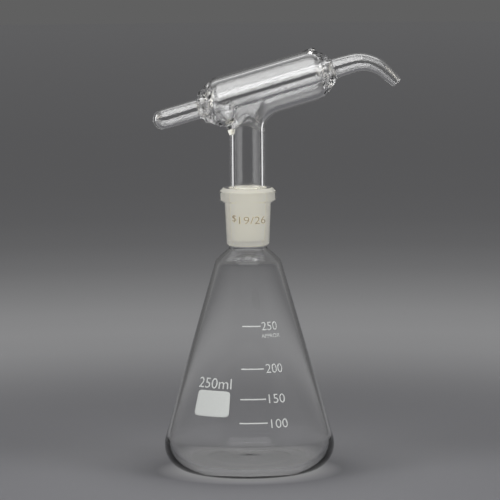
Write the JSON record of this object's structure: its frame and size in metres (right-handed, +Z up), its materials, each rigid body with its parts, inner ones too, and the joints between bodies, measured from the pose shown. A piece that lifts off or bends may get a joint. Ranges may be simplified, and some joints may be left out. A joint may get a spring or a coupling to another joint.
{
  "type": "tilt measure flask",
  "caption": "Conical glass flask with a ground neck socket, carrying an all-glass tilt measure head: a stem, a slanted jacket round a closed measuring tube, and a bent pouring spout.",
  "frame": {"origin": "middle of the flask's foot, on the table plane", "axes": "+Z up the flask's axis, +X towards the pouring spout, -Y is the side with the graduations"},
  "size_m": [0.1238, 0.085, 0.2112],
  "materials": {
    "clear_glass": "fire-polished clear",
    "ground_glass": "ground, frosted on the joint faces",
    "white_enamel": "fired white enamel",
    "tan_enamel": "fired brown stain"
  },
  "bodies": {
    "flask": {"flask_body": "clear_glass", "ground_socket": "ground_glass", "graduation_lines": "white_enamel", "graduation_numbers": "white_enamel", "approx_mark": "white_enamel", "capacity_mark": "white_enamel", "marking_patch": "white_enamel", "joint_size_mark": "tan_enamel"},
    "cone": {"ground_cone": "ground_glass"},
    "head": {"stem_tube": "clear_glass", "stem_collar": "clear_glass", "jacket": "clear_glass", "left_ring_seal": "clear_glass", "right_ring_seal": "clear_glass", "measuring_tube": "clear_glass", "filling_arm": "clear_glass", "support_nub": "clear_glass", "vent_rim": "clear_glass", "spout": "clear_glass"}
  },
  "joints": [
    {"name": "head_lift", "type": "slide", "parent": "flask", "child": "cone", "axis": [0, 0, 1], "range_m": [0, 0.045]},
    {"name": "head_turn", "type": "hinge", "parent": "cone", "child": "head", "pos_m": [0, 0, 0.142], "axis": [0, 0, 1], "continuous": true}
  ]
}
